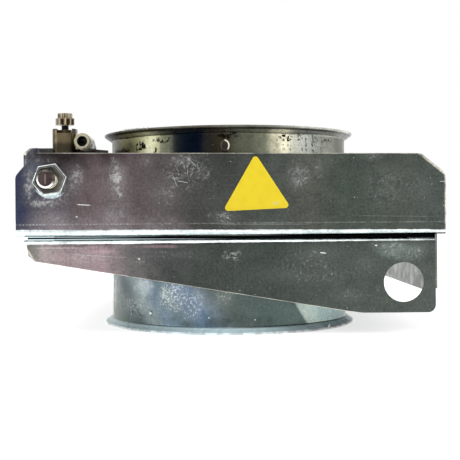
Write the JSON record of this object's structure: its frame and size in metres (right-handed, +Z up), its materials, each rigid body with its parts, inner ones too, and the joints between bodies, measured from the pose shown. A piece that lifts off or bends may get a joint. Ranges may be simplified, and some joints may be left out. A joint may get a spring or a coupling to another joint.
{
  "type": "blast gate",
  "caption": "Pneumatic slide gate for a round dust extraction duct: folded sheet housing, lipped collars, sliding blade driven by an air cylinder with flow regulators.",
  "frame": {"origin": "centre of the lower collar's rim, on the duct axis; the gate stands on this plane", "axes": "+Z up along the duct axis, +Y the way the blade opens, away from the wide front leg, +X along the front to the right"},
  "size_m": [0.2434, 0.3088, 0.1317],
  "materials": {
    "galvanised_sheet": "bright zinc-coated sheet, smeared and lightly stained",
    "zinc_fasteners": "bright zinc plate",
    "turned_aluminium": "turned, satin",
    "barrel_steel": "drawn stainless tube",
    "chromed_rod": "ground and hard chromed",
    "bronze_bush": "sintered bronze",
    "nickelled_brass": "nickel plate, dulled",
    "ivory_plastic": "moulded, slightly glossy",
    "black_rubber": "matt"
  },
  "bodies": {
    "housing": {"upper_housing": "galvanised_sheet", "lower_housing": "galvanised_sheet", "upper_collar": "galvanised_sheet", "lower_collar": "galvanised_sheet", "left_guide_strip": "galvanised_sheet", "right_guide_strip": "galvanised_sheet", "side_strip": "galvanised_sheet", "guide_rivets": "zinc_fasteners", "bracket_rivets": "zinc_fasteners", "side_strip_rivets": "zinc_fasteners", "cylinder_bracket": "galvanised_sheet", "cap_end_cover": "turned_aluminium", "rod_end_cover": "turned_aluminium", "cylinder_barrel": "barrel_steel", "rod_bush": "bronze_bush", "rod_wiper": "black_rubber", "bumpers": "black_rubber", "stud_nut": "zinc_fasteners", "stud_inner_nut": "zinc_fasteners", "cap_port_bolt": "nickelled_brass", "rod_port_bolt": "nickelled_brass"},
    "blade": {"slide_blade": "galvanised_sheet", "piston": "turned_aluminium", "piston_seals": "black_rubber", "piston_rod": "chromed_rod", "rod_nuts": "zinc_fasteners"},
    "cap_regulator": {"cap_regulator_body": "nickelled_brass", "cap_gland_nut": "nickelled_brass", "cap_port_elbow": "ivory_plastic", "cap_tube_seal": "black_rubber"},
    "cap_needle": {"cap_needle_screw": "nickelled_brass", "cap_lock_nut": "nickelled_brass"},
    "cap_collet": {"cap_release_collet": "ivory_plastic"},
    "rod_regulator": {"rod_regulator_body": "nickelled_brass", "rod_gland_nut": "nickelled_brass", "rod_port_elbow": "ivory_plastic", "rod_tube_seal": "black_rubber"},
    "rod_needle": {"rod_needle_screw": "nickelled_brass", "rod_lock_nut": "nickelled_brass"},
    "rod_collet": {"rod_release_collet": "ivory_plastic"}
  },
  "joints": [
    {"name": "blade_slide", "type": "slide", "parent": "housing", "child": "blade", "axis": [0, 1, 0], "range_m": [0, 0.155]},
    {"name": "cap_port_swivel", "type": "hinge", "parent": "housing", "child": "cap_regulator", "pos_m": [-0.1015, -0.0285, 0.102], "axis": [0, 0, 1], "range_deg": [-90, 8]},
    {"name": "cap_needle_turn", "type": "hinge", "parent": "cap_regulator", "child": "cap_needle", "pos_m": [-0.1015, -0.0285, 0.102], "axis": [0, 0, 1], "range_deg": [-1080, 1080]},
    {"name": "cap_collet_press", "type": "slide", "parent": "cap_regulator", "child": "cap_collet", "axis": [0, 1, 0], "range_m": [0, 0.001], "stiffness_N_per_m": 400},
    {"name": "rod_port_swivel", "type": "hinge", "parent": "housing", "child": "rod_regulator", "pos_m": [-0.088, 0.1715, 0.0885], "axis": [1, 0, 0], "range_deg": [-170, 170]},
    {"name": "rod_needle_turn", "type": "hinge", "parent": "rod_regulator", "child": "rod_needle", "pos_m": [-0.088, 0.1715, 0.0885], "axis": [1, 0, 0], "range_deg": [-1080, 1080]},
    {"name": "rod_collet_press", "type": "slide", "parent": "rod_regulator", "child": "rod_collet", "axis": [0, -1, 0], "range_m": [0, 0.001], "stiffness_N_per_m": 400}
  ]
}
